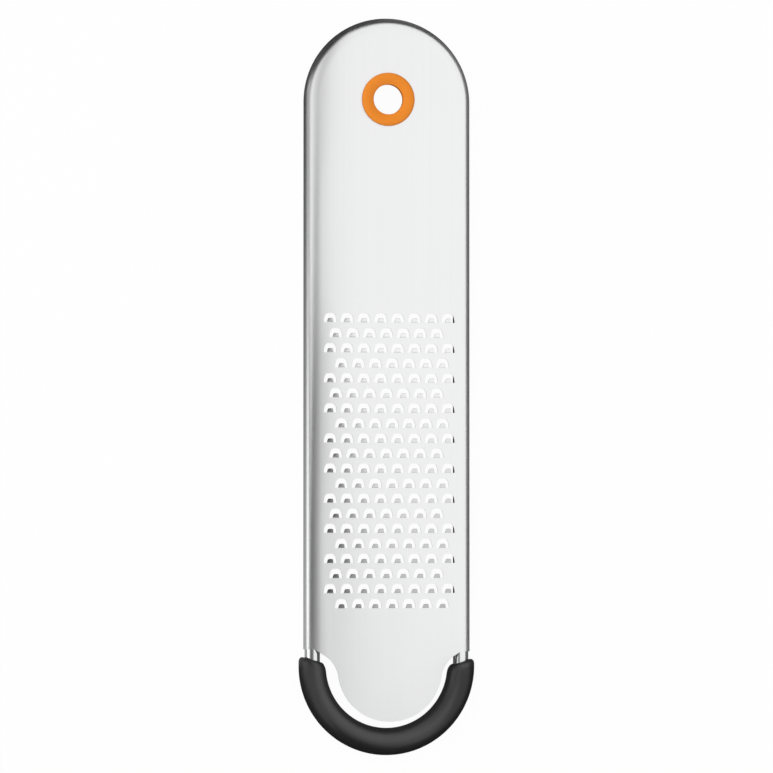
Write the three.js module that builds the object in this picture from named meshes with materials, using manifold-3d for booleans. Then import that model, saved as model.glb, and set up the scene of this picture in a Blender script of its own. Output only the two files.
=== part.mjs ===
import * as THREE from "three";
import { mergeGeometries, mergeVertices } from "three/addons/utils/BufferGeometryUtils.js";
import Module from "manifold-3d";

// A flat hand grater, lying on its back: X runs across it, Y from the foot to the arched end and Z
// out of the grating face. Lengths are in millimetres and angles in degrees.

// Driving dimensions of the wire frame
const WIRE_DIAMETER = 6;
const FRAME_WIDTH = 58.8; // between the centre lines of the two sides
const FRAME_LENGTH = 220.2; // from the centre of the foot bend to the centre of the arch
const BUTT_GAP = 0.2; // at each butt joint between a straight side and a bend

// Driving dimensions of the sheet and its curled rim
const SHEET_THICKNESS = 0.4;
const CURL_CLEARANCE = 0.1; // between the wire and the sheet curled round it
const CURL_ANGLE = 200; // how far the sheet has turned where the curl ends
const SHOULDER_RADIUS = 20; // of the soft bend between the flat face and the curl
const SHOULDER_ANGLE = 10; // how far the sheet has turned where that bend ends
const TONGUE_GAP = 3.4; // between the sheet's lower tongue and the sides of the foot sleeve
const TONGUE_DROP = 1; // of the tongue's centre below the centre of the foot bend
const TONGUE_OFFSET = 0.75; // of the tongue and its notches towards +X, off the frame's middle line
const NOTCH_RADIUS = 11.5; // of the round notch beside each end of the foot sleeve
const NOTCH_DEPTH = 11.75; // from the end of the curl down to the notch's centre
const NOTCH_SLANT = 32; // of the sheet's edge between the notch and the end of the curl
const RIM_LAP = 1; // of the curled rim on the flat web that it grows out of

// Driving dimensions of the teeth
const COLUMN_PITCH = 6.67;
const ROW_PITCH = 5.86;
const FIELD_START = 82.65; // from the centre of the arch down to the first row
const FIELD_END = 22.3; // least height of the last row above the centre of the foot bend
const FIELD_MARGIN = 0.4; // least web left between an opening and the rim's bend
const OPENING_HEIGHT = 3.6;
const OPENING_BASE_WIDTH = 4.8;
const OPENING_TOP_WIDTH = 3;
const OPENING_SHOULDER_SHARE = 0.7; // of the height, where the opening's sides turn in
const OPENING_SHOULDER_SWELL = 0.75; // of the way from the top width to the base width
const TOOTH_REACH = 1.8; // along the sheet, from the root to the cutting edge
const TOOTH_RISE = 1;
const TOOTH_ROOT_WIDTH = 2.5;
const TOOTH_TIP_WIDTH = 1.6;
const TOOTH_ROOT_LAP = 0.5; // of the tooth's root on the web below its opening

// Driving dimensions of the foot sleeve
const FOOT_DIAMETER = 10.8;
const FOOT_CLEARANCE = 0.1; // between the sleeve's bore and the wire
const FOOT_RISE = 2.05; // of the sleeve's ends above the centre of the foot bend
const FOOT_END_SLANT = 16; // the outer side of each end stands higher
const FOOT_END_ROUND = 1.8;
const EXPOSED_WIRE = 4.1; // bare wire between the sleeve and the curled rim

// Driving dimensions of the hang ring
const RING_RISE = 0.95; // of the ring's centre above the centre of the arch
const RING_BORE = 11.7;
const RING_BARREL_WALL = 1.5;
const RING_FLANGE_WIDTH = 3.05; // beyond the barrel, on both sides of the sheet
const RING_EDGE = 0.4; // height of the front flange at its edges
const RING_CROWN = 0.8; // of the front flange above its edges
const RING_BACK_THICKNESS = 1.7;
const RING_BACK_STEP = 0.8; // thickness that the barrel's snap lip grips
const RING_BACK_CHAMFER = 0.4;
const RING_LIP = 0.4; // of the snap lip beyond the barrel
const RING_CLEARANCE = 0.1;

// Facets of the round forms
const WIRE_SIDES = 16;
const ARCH_STEPS = 24;
const BEND_STEPS = 20;
const SHOULDER_STEPS = 2;
const CURL_STEPS = 12;
const FOOT_SIDES = 20;
const FOOT_END_STEPS = 3;
const RING_SIDES = 40;
const CROWN_STEPS = 6;
const NOTCH_SEGMENTS = 5;

// Sizes that follow from the driving dimensions
const wireRadius = WIRE_DIAMETER / 2;
const frameRadius = FRAME_WIDTH / 2;
const footRadius = FOOT_DIAMETER / 2;
const curlInside = wireRadius + CURL_CLEARANCE;
const curlOutside = curlInside + SHEET_THICKNESS;
const shoulderAngle = THREE.MathUtils.degToRad(SHOULDER_ANGLE);
const curlAngle = THREE.MathUtils.degToRad(CURL_ANGLE);
const shoulderOffset = curlOutside - SHOULDER_RADIUS;
const flatHalfWidth = frameRadius + shoulderOffset * Math.sin(shoulderAngle);
const faceHeight = SHOULDER_RADIUS + shoulderOffset * Math.cos(shoulderAngle);
const sheetHeight = faceHeight - SHEET_THICKNESS;
const curlStop = FOOT_RISE + EXPOSED_WIRE;
const notchY = curlStop - NOTCH_DEPTH;
const tongueRadius = frameRadius - footRadius - TONGUE_GAP;
const ringY = FRAME_LENGTH + RING_RISE;
const barrelRadius = RING_BORE / 2 + RING_BARREL_WALL;
const flangeRadius = barrelRadius + RING_FLANGE_WIDTH;

const steel = new THREE.MeshStandardMaterial({ color: 0xd9dbda, roughness: 0.35, metalness: 1 });
const brightSteel = new THREE.MeshStandardMaterial({ color: 0xd6d8d8, roughness: 0.15, metalness: 1 });
const blackRubber = new THREE.MeshStandardMaterial({ color: 0x2a2a2b, roughness: 0.6, metalness: 0 });
const orangePlastic = new THREE.MeshStandardMaterial({ color: 0xf08a2c, roughness: 0.45, metalness: 0 });

const wasm = await Module();
wasm.setup();

// A closed geometry as a solid that can be joined and cut.
function toSolid(geometry) {
  const bare = new THREE.BufferGeometry();
  bare.setAttribute("position", geometry.getAttribute("position"));
  bare.setIndex(geometry.getIndex());
  const merged = mergeVertices(bare);
  return new wasm.Manifold(
    new wasm.Mesh({
      numProp: 3,
      vertProperties: new Float32Array(merged.getAttribute("position").array),
      triVerts: new Uint32Array(merged.getIndex().array),
    }),
  );
}

// A joined or cut solid as a geometry again.
function toGeometry(solid) {
  const mesh = solid.getMesh();
  const geometry = new THREE.BufferGeometry();
  geometry.setAttribute("position", new THREE.BufferAttribute(mesh.vertProperties, 3));
  geometry.setIndex(new THREE.BufferAttribute(mesh.triVerts, 1));
  return geometry;
}

function circlePoints(radius, sides, firstAngle = 0) {
  const points = [];
  for (let i = 0; i < sides; i++) {
    const angle = firstAngle + (i * 2 * Math.PI) / sides;
    points.push(new THREE.Vector2(radius * Math.cos(angle), radius * Math.sin(angle)));
  }
  return points;
}

// One place on the frame's centre line. A section carried there has its first coordinate along
// outward and its second along Z; lean lifts the section's outer side along Y.
function station(x, y, outward, scale = 1, lean = 0) {
  return { x, y, outward, scale, lean };
}

function arcStations(centreY, startAngle, endAngle, steps) {
  const stations = [];
  for (let i = 0; i <= steps; i++) {
    const angle = startAngle + ((endAngle - startAngle) * i) / steps;
    const outward = new THREE.Vector2(Math.cos(angle), Math.sin(angle));
    stations.push(station(frameRadius * outward.x, centreY + frameRadius * outward.y, outward));
  }
  return stations;
}

const archStations = arcStations(FRAME_LENGTH, 0, Math.PI, ARCH_STEPS);
const bendStations = arcStations(0, Math.PI, 2 * Math.PI, BEND_STEPS);

// A closed section carried through a row of stations, with a flat cap at each end.
function sweep(section, stations) {
  const ringSize = section.length;
  const positions = [];
  for (const { x, y, outward, scale, lean } of stations) {
    for (const point of section) {
      const reach = point.x * scale;
      positions.push(x + outward.x * reach, y + (outward.y + lean) * reach, point.y * scale);
    }
  }
  const indices = [];
  for (let k = 0; k < stations.length - 1; k++) {
    const ring = k * ringSize;
    const nextRing = ring + ringSize;
    for (let i = 0; i < ringSize; i++) {
      const j = (i + 1) % ringSize;
      indices.push(ring + i, nextRing + i, ring + j);
      indices.push(nextRing + i, nextRing + j, ring + j);
    }
  }
  const lastRing = (stations.length - 1) * ringSize;
  for (const [a, b, c] of THREE.ShapeUtils.triangulateShape(section, [])) {
    indices.push(a, b, c);
    indices.push(lastRing + a, lastRing + c, lastRing + b);
  }
  const geometry = new THREE.BufferGeometry();
  geometry.setAttribute("position", new THREE.Float32BufferAttribute(positions, 3));
  geometry.setIndex(indices);
  return geometry;
}

// The wire is a loop of four lengths: the arch, the foot bend and the two straight sides.
function makeWire(stations) {
  return sweep(circlePoints(wireRadius, WIRE_SIDES), stations);
}

function sideStations(side) {
  const outward = new THREE.Vector2(side, 0);
  const heights = [BUTT_GAP, FRAME_LENGTH - BUTT_GAP];
  const upward = side > 0 ? heights : heights.reverse();
  return upward.map((y) => station(side * frameRadius, y, outward));
}

// A point of the sheet's section where the sheet has turned by an angle, at a depth below its outer
// face: first along the shoulder, then round the wire. The height counts from the web's underside.
function sheetPoint(turn, depth) {
  const onShoulder = turn < shoulderAngle;
  const offset = onShoulder ? shoulderOffset : 0;
  const radius = (onShoulder ? SHOULDER_RADIUS : curlOutside) - depth;
  return new THREE.Vector2(
    offset * Math.sin(shoulderAngle) + radius * Math.sin(turn),
    offset * Math.cos(shoulderAngle) + radius * Math.cos(turn) - sheetHeight,
  );
}

// The rim's section: a flat lap on the web, the shoulder, and the curl round the wire.
function rimSection() {
  const turns = [];
  for (let i = 1; i < SHOULDER_STEPS; i++) {
    turns.push((shoulderAngle * i) / SHOULDER_STEPS);
  }
  for (let i = 0; i <= CURL_STEPS; i++) {
    turns.push(shoulderAngle + ((curlAngle - shoulderAngle) * i) / CURL_STEPS);
  }
  const flatEnd = flatHalfWidth - frameRadius;
  const inner = turns.map((turn) => sheetPoint(turn, SHEET_THICKNESS));
  const outer = turns.map((turn) => sheetPoint(turn, 0)).reverse();
  return [
    new THREE.Vector2(flatEnd - RIM_LAP, 0),
    new THREE.Vector2(flatEnd, 0),
    ...inner,
    ...outer,
    new THREE.Vector2(flatEnd, SHEET_THICKNESS),
    new THREE.Vector2(flatEnd - RIM_LAP, SHEET_THICKNESS),
  ];
}

// The middle of each tooth's root. Full rows alternate with rows that have one tooth less, set over
// by one third of a pitch and then by two thirds.
function toothPlaces() {
  const room = 2 * (flatHalfWidth - FIELD_MARGIN) - OPENING_BASE_WIDTH;
  const columns = Math.floor(room / COLUMN_PITCH) + 1;
  const fieldTop = FRAME_LENGTH - FIELD_START;
  const rows = Math.floor((fieldTop - FIELD_END - OPENING_HEIGHT) / ROW_PITCH) + 1;
  const shifts = [0, 1 / 3, 0, 2 / 3];
  const places = [];
  for (let row = 0; row < rows; row++) {
    const shift = shifts[row % shifts.length];
    const count = shift > 0 ? columns - 1 : columns;
    for (let i = 0; i < count; i++) {
      const x = (i + shift - (columns - 1) / 2) * COLUMN_PITCH;
      const y = fieldTop - OPENING_HEIGHT - row * ROW_PITCH;
      places.push(new THREE.Vector2(x, y));
    }
  }
  return places;
}

// The cutter for the opening round a tooth, straight at the root and narrowing to a
// round-shouldered top. Its root line lies on the X axis.
function makeOpening() {
  const half = OPENING_BASE_WIDTH / 2;
  const topHalf = OPENING_TOP_WIDTH / 2;
  const shoulderHalf = topHalf + (half - topHalf) * OPENING_SHOULDER_SWELL;
  const shoulderHeight = OPENING_HEIGHT * OPENING_SHOULDER_SHARE;
  const outline = new THREE.Shape([
    new THREE.Vector2(-half, 0),
    new THREE.Vector2(half, 0),
    new THREE.Vector2(shoulderHalf, shoulderHeight),
    new THREE.Vector2(topHalf, OPENING_HEIGHT),
    new THREE.Vector2(-topHalf, OPENING_HEIGHT),
    new THREE.Vector2(-shoulderHalf, shoulderHeight),
  ]);
  const depth = 3 * SHEET_THICKNESS;
  const cutter = new THREE.ExtrudeGeometry(outline, { depth, bevelEnabled: false });
  return cutter.translate(0, 0, -SHEET_THICKNESS);
}

// The flat web with the hole for the hang ring.
function makeWeb() {
  const corner = -tongueRadius - NOTCH_RADIUS;
  const outline = [
    new THREE.Vector2(-flatHalfWidth, corner),
    new THREE.Vector2(flatHalfWidth, corner),
    ...archStations.map(
      ({ outward }) =>
        new THREE.Vector2(flatHalfWidth * outward.x, FRAME_LENGTH + flatHalfWidth * outward.y),
    ),
  ];
  const web = new THREE.Shape(outline);
  const ringHole = circlePoints(barrelRadius + RING_CLEARANCE, RING_SIDES);
  ringHole.forEach((point) => (point.y += ringY));
  web.holes.push(new THREE.Path(ringHole));
  return new THREE.ExtrudeGeometry(web, { depth: SHEET_THICKNESS, bevelEnabled: false });
}

// A tooth: a tongue of sheet that rises from its root to the cutting edge.
function makeTooth() {
  const rootHalf = TOOTH_ROOT_WIDTH / 2;
  const tipHalf = TOOTH_TIP_WIDTH / 2;
  const middle = TOOTH_REACH / 2;
  const middleHalf = (rootHalf + tipHalf) / 2;
  const outline = new THREE.Shape([
    new THREE.Vector2(-rootHalf, -TOOTH_ROOT_LAP),
    new THREE.Vector2(rootHalf, -TOOTH_ROOT_LAP),
    new THREE.Vector2(middleHalf, middle),
    new THREE.Vector2(tipHalf, TOOTH_REACH),
    new THREE.Vector2(-tipHalf, TOOTH_REACH),
    new THREE.Vector2(-middleHalf, middle),
  ]);
  const tooth = new THREE.ExtrudeGeometry(outline, { depth: SHEET_THICKNESS, bevelEnabled: false });
  const position = tooth.getAttribute("position");
  for (let i = 0; i < position.count; i++) {
    const share = (position.getY(i) + TOOTH_ROOT_LAP) / (TOOTH_REACH + TOOTH_ROOT_LAP);
    position.setZ(i, position.getZ(i) + TOOTH_RISE * share);
  }
  return tooth;
}

// Everything above the sheet's lower edge: the curl's ends, a slanted edge and a round notch beside
// each end of the foot sleeve, and the round tongue between them. The arcs run smoothly into each
// other and into the slanted edges.
function makeTrim() {
  const tongueY = -TONGUE_DROP;
  const notchX = Math.sqrt((tongueRadius + NOTCH_RADIUS) ** 2 - (tongueY - notchY) ** 2);
  const meeting = Math.atan2(tongueY - notchY, notchX);
  const slant = THREE.MathUtils.degToRad(NOTCH_SLANT);
  const slantRise = NOTCH_DEPTH - NOTCH_RADIUS * Math.cos(slant);
  const slantX = notchX - NOTCH_RADIUS * Math.sin(slant) + slantRise / Math.tan(slant);
  const notchTop = Math.PI / 2 - slant;
  const side = frameRadius + 2 * curlOutside;
  const top = FRAME_LENGTH + side;
  const shape = new THREE.Shape();
  shape.moveTo(-side, curlStop);
  shape.lineTo(TONGUE_OFFSET - slantX, curlStop);
  shape.absarc(TONGUE_OFFSET - notchX, notchY, NOTCH_RADIUS, notchTop, meeting, true);
  shape.absarc(TONGUE_OFFSET, tongueY, tongueRadius, Math.PI + meeting, 2 * Math.PI - meeting, false);
  shape.absarc(TONGUE_OFFSET + notchX, notchY, NOTCH_RADIUS, Math.PI - meeting, Math.PI - notchTop, true);
  shape.lineTo(TONGUE_OFFSET + slantX, curlStop);
  shape.lineTo(side, curlStop);
  shape.lineTo(side, top);
  shape.lineTo(-side, top);
  const depth = 2 * (sheetHeight + curlOutside + TOOTH_RISE);
  const trim = new THREE.ExtrudeGeometry(shape, {
    depth,
    bevelEnabled: false,
    curveSegments: NOTCH_SEGMENTS,
  });
  return trim.translate(0, 0, -depth / 2);
}

function makePlate() {
  const places = toothPlaces();
  const rim = sweep(rimSection(), [
    station(frameRadius, notchY, new THREE.Vector2(1, 0)),
    ...archStations,
    station(-frameRadius, notchY, new THREE.Vector2(-1, 0)),
  ]);
  const atPlaces = (geometry) =>
    mergeGeometries(places.map(({ x, y }) => geometry.clone().translate(x, y, 0)));
  const blank = toSolid(makeWeb()).add(toSolid(rim)).intersect(toSolid(makeTrim()));
  const pierced = blank.subtract(toSolid(atPlaces(makeOpening())));
  return toGeometry(pierced.add(toSolid(atPlaces(makeTooth()))));
}

// The foot sleeve: a round tube over the foot bend, with rounded, slanted ends.
function makeFoot() {
  const bore = circlePoints(wireRadius + FOOT_CLEARANCE, WIRE_SIDES);
  const wall = footRadius - wireRadius - FOOT_CLEARANCE;
  const round = Math.min(FOOT_END_ROUND, wall, FOOT_RISE);
  const slant = Math.tan(THREE.MathUtils.degToRad(FOOT_END_SLANT));
  const endStations = (side) => {
    const stations = [];
    for (let i = 0; i <= FOOT_END_STEPS; i++) {
      const angle = ((Math.PI / 2) * i) / FOOT_END_STEPS;
      const scale = 1 - (round * (1 - Math.cos(angle))) / footRadius;
      const height = FOOT_RISE - round * (1 - Math.sin(angle));
      const outward = new THREE.Vector2(side, 0);
      stations.push(station(side * frameRadius, height, outward, scale, slant * Math.sin(angle)));
    }
    return stations;
  };
  const outerStations = [...endStations(-1).reverse(), ...bendStations, ...endStations(1)];
  const beyond = FOOT_RISE + footRadius;
  const boreStations = [
    station(-frameRadius, beyond, new THREE.Vector2(-1, 0)),
    ...bendStations,
    station(frameRadius, beyond, new THREE.Vector2(1, 0)),
  ];
  const outer = sweep(circlePoints(footRadius, FOOT_SIDES, Math.PI / FOOT_SIDES), outerStations);
  return toGeometry(toSolid(outer).subtract(toSolid(sweep(bore, boreStations))));
}

// A closed profile of radius and height turned round the ring's axis.
function turned(profile) {
  const points = [...profile, profile[0]].map(([radius, height]) => new THREE.Vector2(radius, height));
  return new THREE.LatheGeometry(points, RING_SIDES).rotateX(Math.PI / 2);
}

// Heights on the hang ring count from the sheet's outer face.
const ringBackTop = -SHEET_THICKNESS - RING_CLEARANCE;
const ringBackStep = ringBackTop - RING_BACK_STEP;
const ringBackBottom = ringBackTop - RING_BACK_THICKNESS;

// The front ring: a crowned flange, and the barrel with its snap lip.
function makeFrontRing() {
  const inside = RING_BORE / 2;
  const middle = (inside + flangeRadius) / 2;
  const half = (flangeRadius - inside) / 2;
  const edgeHeight = RING_CLEARANCE + RING_EDGE;
  const crown = [];
  for (let i = 0; i <= CROWN_STEPS; i++) {
    const angle = (Math.PI * i) / CROWN_STEPS;
    crown.push([middle + half * Math.cos(angle), edgeHeight + RING_CROWN * Math.sin(angle)]);
  }
  const lipTop = ringBackStep - RING_CLEARANCE;
  const lipBottom = ringBackBottom + RING_CLEARANCE;
  return turned([
    [inside, lipBottom],
    [barrelRadius, lipBottom],
    [barrelRadius + RING_LIP, (lipBottom + lipTop) / 2],
    [barrelRadius + RING_LIP, lipTop],
    [barrelRadius, lipTop],
    [barrelRadius, RING_CLEARANCE],
    [flangeRadius, RING_CLEARANCE],
    ...crown,
  ]);
}

// The back ring: a flat ring with a recess that takes the snap lip.
function makeBackRing() {
  const bore = barrelRadius + RING_CLEARANCE;
  const recess = bore + RING_LIP;
  return turned([
    [recess, ringBackBottom],
    [flangeRadius - RING_BACK_CHAMFER, ringBackBottom],
    [flangeRadius, ringBackBottom + RING_BACK_CHAMFER],
    [flangeRadius, ringBackTop],
    [bore, ringBackTop],
    [bore, ringBackStep],
    [recess, ringBackStep],
  ]);
}

function named(name, geometry, material) {
  const mesh = new THREE.Mesh(geometry, material);
  mesh.name = name;
  return mesh;
}

// The foot sleeve's lowest facets lie on the ground plane, and the origin is under the middle.
const footFlat = footRadius * Math.cos(Math.PI / FOOT_SIDES);
const archTop = FRAME_LENGTH + frameRadius + curlOutside;
const footEnd = -frameRadius - footFlat;
const grater = new THREE.Group();
grater.position.set(0, -(archTop + footEnd) / 2, footFlat);

const plate = named("grater_plate", makePlate(), steel);
plate.position.z = sheetHeight;
grater.add(plate);
grater.add(named("frame_wire_arch", makeWire(archStations), brightSteel));
grater.add(named("frame_wire_left", makeWire(sideStations(-1)), brightSteel));
grater.add(named("frame_wire_right", makeWire(sideStations(1)), brightSteel));
grater.add(named("frame_wire_foot", makeWire(bendStations), brightSteel));
grater.add(named("foot_sleeve", makeFoot(), blackRubber));

const hangRing = new THREE.Group();
hangRing.position.set(0, ringY, faceHeight);
hangRing.add(named("hang_ring_front", makeFrontRing(), orangePlastic));
hangRing.add(named("hang_ring_back", makeBackRing(), orangePlastic));
grater.add(hangRing);

export default grater;
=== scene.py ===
"""The looks of a fine hand grater that lies on a pale floor with its grating face up.

X runs across the grater, Y from the rubber foot to the arched end, Z out of the grating face.
The sizes here are in millimetres and degrees, and meshes are written in metres.
"""

import math

import bpy
import numpy as np
from mathutils import Matrix, Vector


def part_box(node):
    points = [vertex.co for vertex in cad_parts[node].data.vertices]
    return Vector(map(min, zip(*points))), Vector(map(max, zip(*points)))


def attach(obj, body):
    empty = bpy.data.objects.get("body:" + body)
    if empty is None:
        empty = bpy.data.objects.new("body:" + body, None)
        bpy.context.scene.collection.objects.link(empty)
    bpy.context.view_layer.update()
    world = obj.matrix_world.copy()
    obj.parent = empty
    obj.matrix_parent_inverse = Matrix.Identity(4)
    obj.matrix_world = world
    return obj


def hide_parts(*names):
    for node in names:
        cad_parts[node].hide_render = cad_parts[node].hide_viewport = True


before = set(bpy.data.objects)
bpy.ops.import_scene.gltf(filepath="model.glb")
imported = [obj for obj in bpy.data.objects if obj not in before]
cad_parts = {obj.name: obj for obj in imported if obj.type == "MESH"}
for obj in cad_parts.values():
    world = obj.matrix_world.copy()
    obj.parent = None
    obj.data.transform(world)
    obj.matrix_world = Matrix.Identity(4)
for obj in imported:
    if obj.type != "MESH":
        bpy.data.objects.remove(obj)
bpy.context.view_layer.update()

MILLIMETRE = 0.001

# The sheet and its curled rim
SHEET_THICKNESS = 0.4
CURL_CLEARANCE = 0.1
CURL_ANGLE = 200
SHOULDER_RADIUS = 20
SHOULDER_ANGLE = 10
TONGUE_RADIUS = 20.6
TONGUE_DROP = 1.0
TONGUE_OFFSET = 0.75  # towards +X
END_SKEW = 0.5  # the curl ends lower by this on the right, and higher by it on the left
NOTCH_RADIUS = 11.5
NOTCH_DEPTH = 11.75
NOTCH_SLANT = 32
RING_HOLE_RADIUS = 7.45

# The teeth and the openings round them
COLUMNS = 8
COLUMN_PITCH = 6.67
ROWS = 20
ROW_PITCH = 5.86
ROW_SHIFTS = (0, 4, 0, 8)  # in twelfths of the column pitch; a shifted row has one tooth less
FIELD_START = 82.65
FIELD_SHIFT = 0.42  # of the openings and teeth towards +X
OPENING_HEIGHT = 3.6
OPENING_WIDTH = 5.1
OPENING_TAPER = 0.34
OPENING_SQUARENESS = 6
TOOTH_REACH = 1.6
TOOTH_RISE = 0.89
TOOTH_ROOT_WIDTH = 2.55
TOOTH_TIP_WIDTH = 1.95
TOOTH_TIP_ROUND = 0.12
TOOTH_CROWN = 0.01
TOOTH_THINNING = 0.7  # of the sheet's thickness, at the cutting edge

# The foot sleeve
FOOT_BORE_RADIUS = 3.1
FOOT_RISE = 2.05
FOOT_SLIDE = 0.5  # of the sleeve round the bend, towards its left end
FOOT_END_SLANT = 16
FOOT_END_ROUND = 1.7
FOOT_OUTER_ROUNDING = 2.3
FOOT_INNER_ROUNDING = 3.6
EXPOSED_WIRE = 4.1

# The hang ring
RING_BORE_RADIUS = 5.85
RING_BARREL_RADIUS = 7.35
RING_EDGE = 0.4
RING_CLEARANCE = 0.1
RING_BACK_THICKNESS = 1.7
RING_BACK_STEP = 0.8
RING_LIP = 0.4
RING_FRONT_SOFTNESS = 0.15  # of the corners of its profile
RING_BACK_SOFTNESS = 0.3
RING_CREST_SHIFT = 0.7  # under 1, the crown's crest lies nearer to the outer edge
RING_CREST_FULLNESS = 0.75

# Steps of the meshes
PITCH_STEPS = 12
CELL_SIDE_STEPS = 6
TOOTH_STEPS_ACROSS = 6
TOOTH_STEPS_ALONG = 4
ROOT_STEPS_BESIDE = 3
PLAIN_STEPS = 10
RING_PATCH_STEPS = 8
RING_SIDE_STEPS = 12
LOWER_STEPS = 14
ARCH_STEPS = 64
SHOULDER_STEPS = 5
CURL_STEPS = 26
WIRE_SIDES = 40
FOOT_SIDES = 48
FOOT_STEPS = 96
FOOT_END_STEPS = 8
RING_SIDES = 96
CROWN_STEPS = 24
CORNER_STEPS = 4
DENSE_STEPS = 400

# Turns past which an edge is shaded as sharp
SHEET_CREASE = 22
WIRE_CREASE = 40
FOOT_CREASE = 50
RING_CREASE = 35

# The photograph's view
CAMERA_DISTANCE = 2000
CAMERA_TILT = 10  # towards the left side
CAMERA_LEAN = 1.5  # towards the foot
CAMERA_OFFSET = (-0.04, -0.10)
CAMERA_CLIP_END = 100  # in metres
VIEW_WIDTH = 302
SENSOR_WIDTH = 36

# The studio
FLOOR_HALF = 4000
FLOOR_COLOUR = (0.9, 0.9, 0.9, 1)
FLOOR_WHITE = 0.965  # the share of the floor's look that is plain white; the rest takes shadow
WORLD_LIGHT = 0.3  # where the world isn't seen, and only lights the object
SHADE_ENDS = (-110, 110)  # along Y, where the two shades of most cards lie
PANEL_DISTANCE = 400
PANEL_ENDS = (-140, 220)
FOOT_PANEL_ENDS = (-400, -140)
NEAR_FLAG_STEPS = 20
NEAR_FLAG_HEIGHT = 34
NEAR_FLAG_FADE = (-32, -18.5)  # along X, where its dark and its light shade lie
HIGH_FLAG_HEIGHT = 102
FOOT_FLAG_HEIGHT = 200
ARM_FLAG_HEIGHT = 20
SCREEN_STEPS = 16
SCREEN_HALF_WIDTH = 700
SCREEN_FOOT_Y = -200
SCREEN_FOOT_HEIGHT = 60
SCREEN_LEAN = 60  # of its top, away from the object
SCREEN_RISE = 200
SCREEN_DARK = 0.03
WHITE = (1, 1, 1, 1)


def box_of(node):
    """The lowest and highest corner of a node of the frame, in millimetres."""
    low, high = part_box(node)
    return np.array(low) / MILLIMETRE, np.array(high) / MILLIMETRE


# Places that follow from the frame
arch_low, arch_high = box_of("frame_wire_arch")
bend_low = box_of("frame_wire_foot")[0]
foot_low, foot_high = box_of("foot_sleeve")
ring_low, ring_high = box_of("hang_ring_front")
wire_radius = (arch_high[2] - arch_low[2]) / 2
wire_height = (arch_high[2] + arch_low[2]) / 2
frame_radius = arch_high[0] - wire_radius
arch_y = arch_high[1] - wire_radius - frame_radius
bend_y = bend_low[1] + wire_radius + frame_radius
bend_length = frame_radius * math.pi / 2
foot_radius = (foot_high[2] - foot_low[2]) / 2
flange_radius = (ring_high[0] - ring_low[0]) / 2
ring_y = (ring_high[1] + ring_low[1]) / 2

# Places that follow from the sizes above
curl_outside = wire_radius + CURL_CLEARANCE + SHEET_THICKNESS
curl_turn = math.radians(CURL_ANGLE)
shoulder_turn = math.radians(SHOULDER_ANGLE)
shoulder_offset = curl_outside - SHOULDER_RADIUS
flat_half = frame_radius + shoulder_offset * math.sin(shoulder_turn)
face_height = wire_height + SHOULDER_RADIUS + shoulder_offset * math.cos(shoulder_turn)
field_half = COLUMNS * COLUMN_PITCH / 2
row_margin = (ROW_PITCH - OPENING_HEIGHT) / 2
first_root = arch_y - FIELD_START - OPENING_HEIGHT
field_top = first_root - row_margin + ROW_PITCH
field_bottom = field_top - ROWS * ROW_PITCH
curl_stop = bend_y + FOOT_RISE + EXPOSED_WIRE
tongue_y = bend_y - TONGUE_DROP
notch_y = curl_stop - NOTCH_DEPTH
notch_slant = math.radians(NOTCH_SLANT)


def grid_faces(rows, columns, close_rows=False, close_columns=False):
    """Quads of a grid of points numbered row by row. A closed direction joins its last line to its
    first. The faces look along (column direction) x (row direction)."""
    row_starts = np.arange(rows if close_rows else rows - 1)
    column_starts = np.arange(columns if close_columns else columns - 1)
    row, column = np.meshgrid(row_starts, column_starts, indexing="ij")
    next_row = (row + 1) % rows
    next_column = (column + 1) % columns
    corners = [(row, column), (row, next_column), (next_row, next_column), (next_row, column)]
    return np.stack([r * columns + c for r, c in corners], axis=-1).reshape(-1, 4)


def evenly_spaced(points, count):
    """count points at equal distances along a line of points."""
    steps = np.linalg.norm(np.diff(points, axis=0), axis=1)
    along = np.concatenate([[0], np.cumsum(steps)])
    wanted = np.linspace(0, along[-1], count)
    return np.stack([np.interp(wanted, along, axis) for axis in points.T], axis=-1)


def on_circle(centre_x, centre_y, radius, angles):
    """Points at angles round a circle, in plan."""
    x = centre_x + radius * np.cos(angles)
    y = centre_y + radius * np.sin(angles)
    return np.stack([x, y], axis=-1)


def weld(patches):
    """One surface from grids of points with their faces: points in one place become one point."""
    weld_distance = 0.001
    off_the_boundaries = 0.37
    points = np.concatenate([grid.reshape(-1, 3) for grid, _ in patches])
    starts = np.cumsum([0] + [grid.size // 3 for grid, _ in patches[:-1]])
    faces = np.concatenate([faces + start for (grid, faces), start in zip(patches, starts)])
    keys = np.round(points / weld_distance + off_the_boundaries).astype(np.int64)
    _, first, index = np.unique(keys, axis=0, return_index=True, return_inverse=True)
    return points[first], index.ravel()[faces]


def thicken(points, faces, thickness):
    """A closed wall: the surface, a copy moved inwards along its normals by each point's thickness
    with its faces turned over, and a band of quads along each free edge."""
    corners = points[faces]
    face_normals = np.cross(corners[:, 2] - corners[:, 0], corners[:, 3] - corners[:, 1])
    normals = np.zeros_like(points)
    for corner in range(4):
        np.add.at(normals, faces[:, corner], face_normals)
    normals /= np.linalg.norm(normals, axis=1, keepdims=True)
    inner = points - thickness[:, None] * normals
    count = len(points)
    edges = np.stack([faces, np.roll(faces, -1, axis=1)], axis=-1).reshape(-1, 2)
    _, index, uses = np.unique(
        np.sort(edges, axis=1), axis=0, return_inverse=True, return_counts=True
    )
    start, end = edges[uses[index.ravel()] == 1].T
    band = np.stack([end, start, start + count, end + count], axis=-1)
    return np.concatenate([points, inner]), np.concatenate([faces, faces[:, ::-1] + count, band])


# The sheet


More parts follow.
